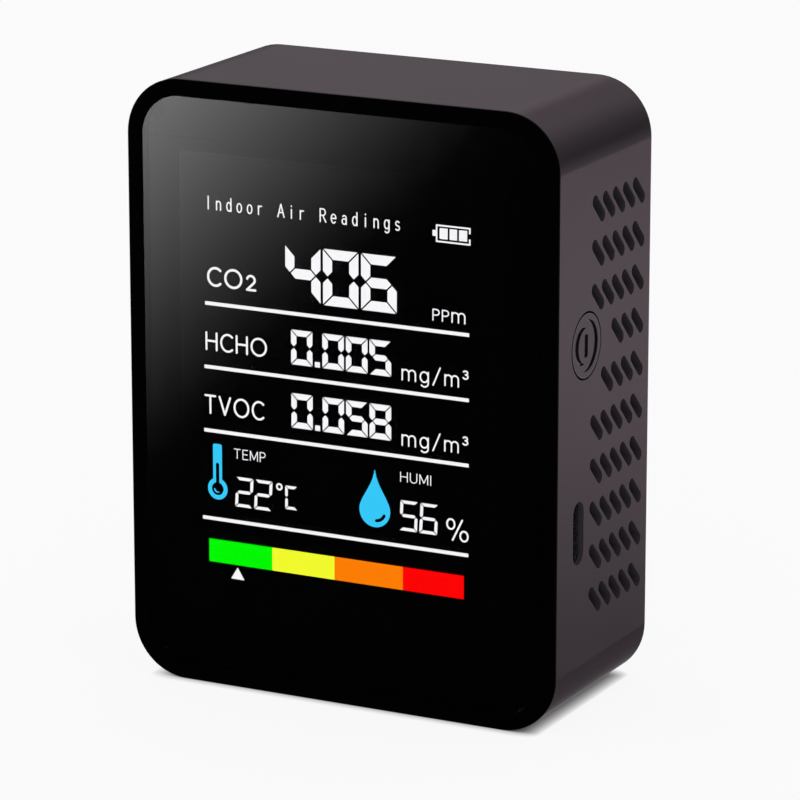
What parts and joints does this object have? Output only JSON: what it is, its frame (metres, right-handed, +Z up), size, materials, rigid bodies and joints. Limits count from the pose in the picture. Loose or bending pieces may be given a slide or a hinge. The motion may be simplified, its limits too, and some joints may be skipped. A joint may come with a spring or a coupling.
{
  "type": "air quality monitor",
  "caption": "Upright desktop air quality monitor: rounded box, smoked display front, slanted side vents, side power button and charging socket.",
  "frame": {"origin": "middle of the flat resting face at the bottom, halfway across the width and the depth", "axes": "+Z up; -Y out of the display front; +X to the right as seen from the front, out of the side with the button and the socket"},
  "size_m": [0.065, 0.03, 0.085],
  "materials": {
    "housing_coat": "satin metallic brown-grey paint on moulded ABS",
    "button_coat": "satin brown-grey coat with a black filled mark",
    "frame_black": "fine satin black",
    "smoked_lens": "polished, black printed behind",
    "black_tape": "matte",
    "lcd_glass": "polished",
    "white_plastic": "satin",
    "tinned_metal": "bright tin",
    "board_green": "solder mask",
    "board_blue": "solder mask",
    "screw_steel": "zinc plated",
    "switch_black": "satin",
    "socket_steel": "nickel plated",
    "gold_plate": "gold plated",
    "brass_base": "plain",
    "chip_epoxy": "moulded epoxy",
    "ferrite": "matte",
    "capacitor_tan": "matte",
    "membrane_white": "porous",
    "cell_foil": "laminated foil",
    "amber_tape": "film tape",
    "foam_tape": "foam",
    "lead_red": "insulated wire"
  },
  "bodies": {
    "housing": {"rear_housing": "housing_coat", "front_frame": "frame_black", "display_lens": "smoked_lens", "lens_tape": "black_tape", "lcd_glass": "lcd_glass", "lcd_backlight": "white_plastic", "lcd_pins": "tinned_metal", "main_board": "board_green", "board_screws": "screw_steel", "housing_screws": "screw_steel", "switch_body": "switch_black", "switch_bracket": "tinned_metal", "usb_shell": "socket_steel", "usb_insulator": "switch_black", "usb_contacts": "gold_plate", "controller_chip": "chip_epoxy", "controller_leads": "tinned_metal", "charger_chip": "chip_epoxy", "crystal": "socket_steel", "power_inductor": "ferrite", "chip_resistors": "chip_epoxy", "chip_capacitors": "capacitor_tan", "co2_board": "board_blue", "co2_chamber": "gold_plate", "co2_filters": "membrane_white", "co2_pins": "gold_plate", "hcho_sensor": "white_plastic", "hcho_membrane": "membrane_white", "tvoc_base": "brass_base", "tvoc_can": "socket_steel", "tvoc_mesh": "socket_steel", "humidity_sensor": "white_plastic", "battery_cell": "cell_foil", "battery_guard": "amber_tape", "battery_tape": "foam_tape", "battery_leads": "lead_red", "battery_plug": "white_plastic", "battery_socket": "white_plastic"},
    "button": {"power_button": "button_coat"},
    "plunger": {"switch_plunger": "switch_black"}
  },
  "joints": [
    {"name": "button_press", "type": "slide", "parent": "housing", "child": "button", "axis": [-1, 0, 0], "range_m": [0, 0.0003], "stiffness_N_per_m": 1500, "springref_m": -0.0005},
    {"name": "plunger_slide", "type": "slide", "parent": "housing", "child": "plunger", "axis": [-1, 0, 0], "range_m": [0, 0.0003]}
  ],
  "couplings": [
    {"joint": "plunger_slide", "follows": "button_press", "ratio": 1}
  ]
}
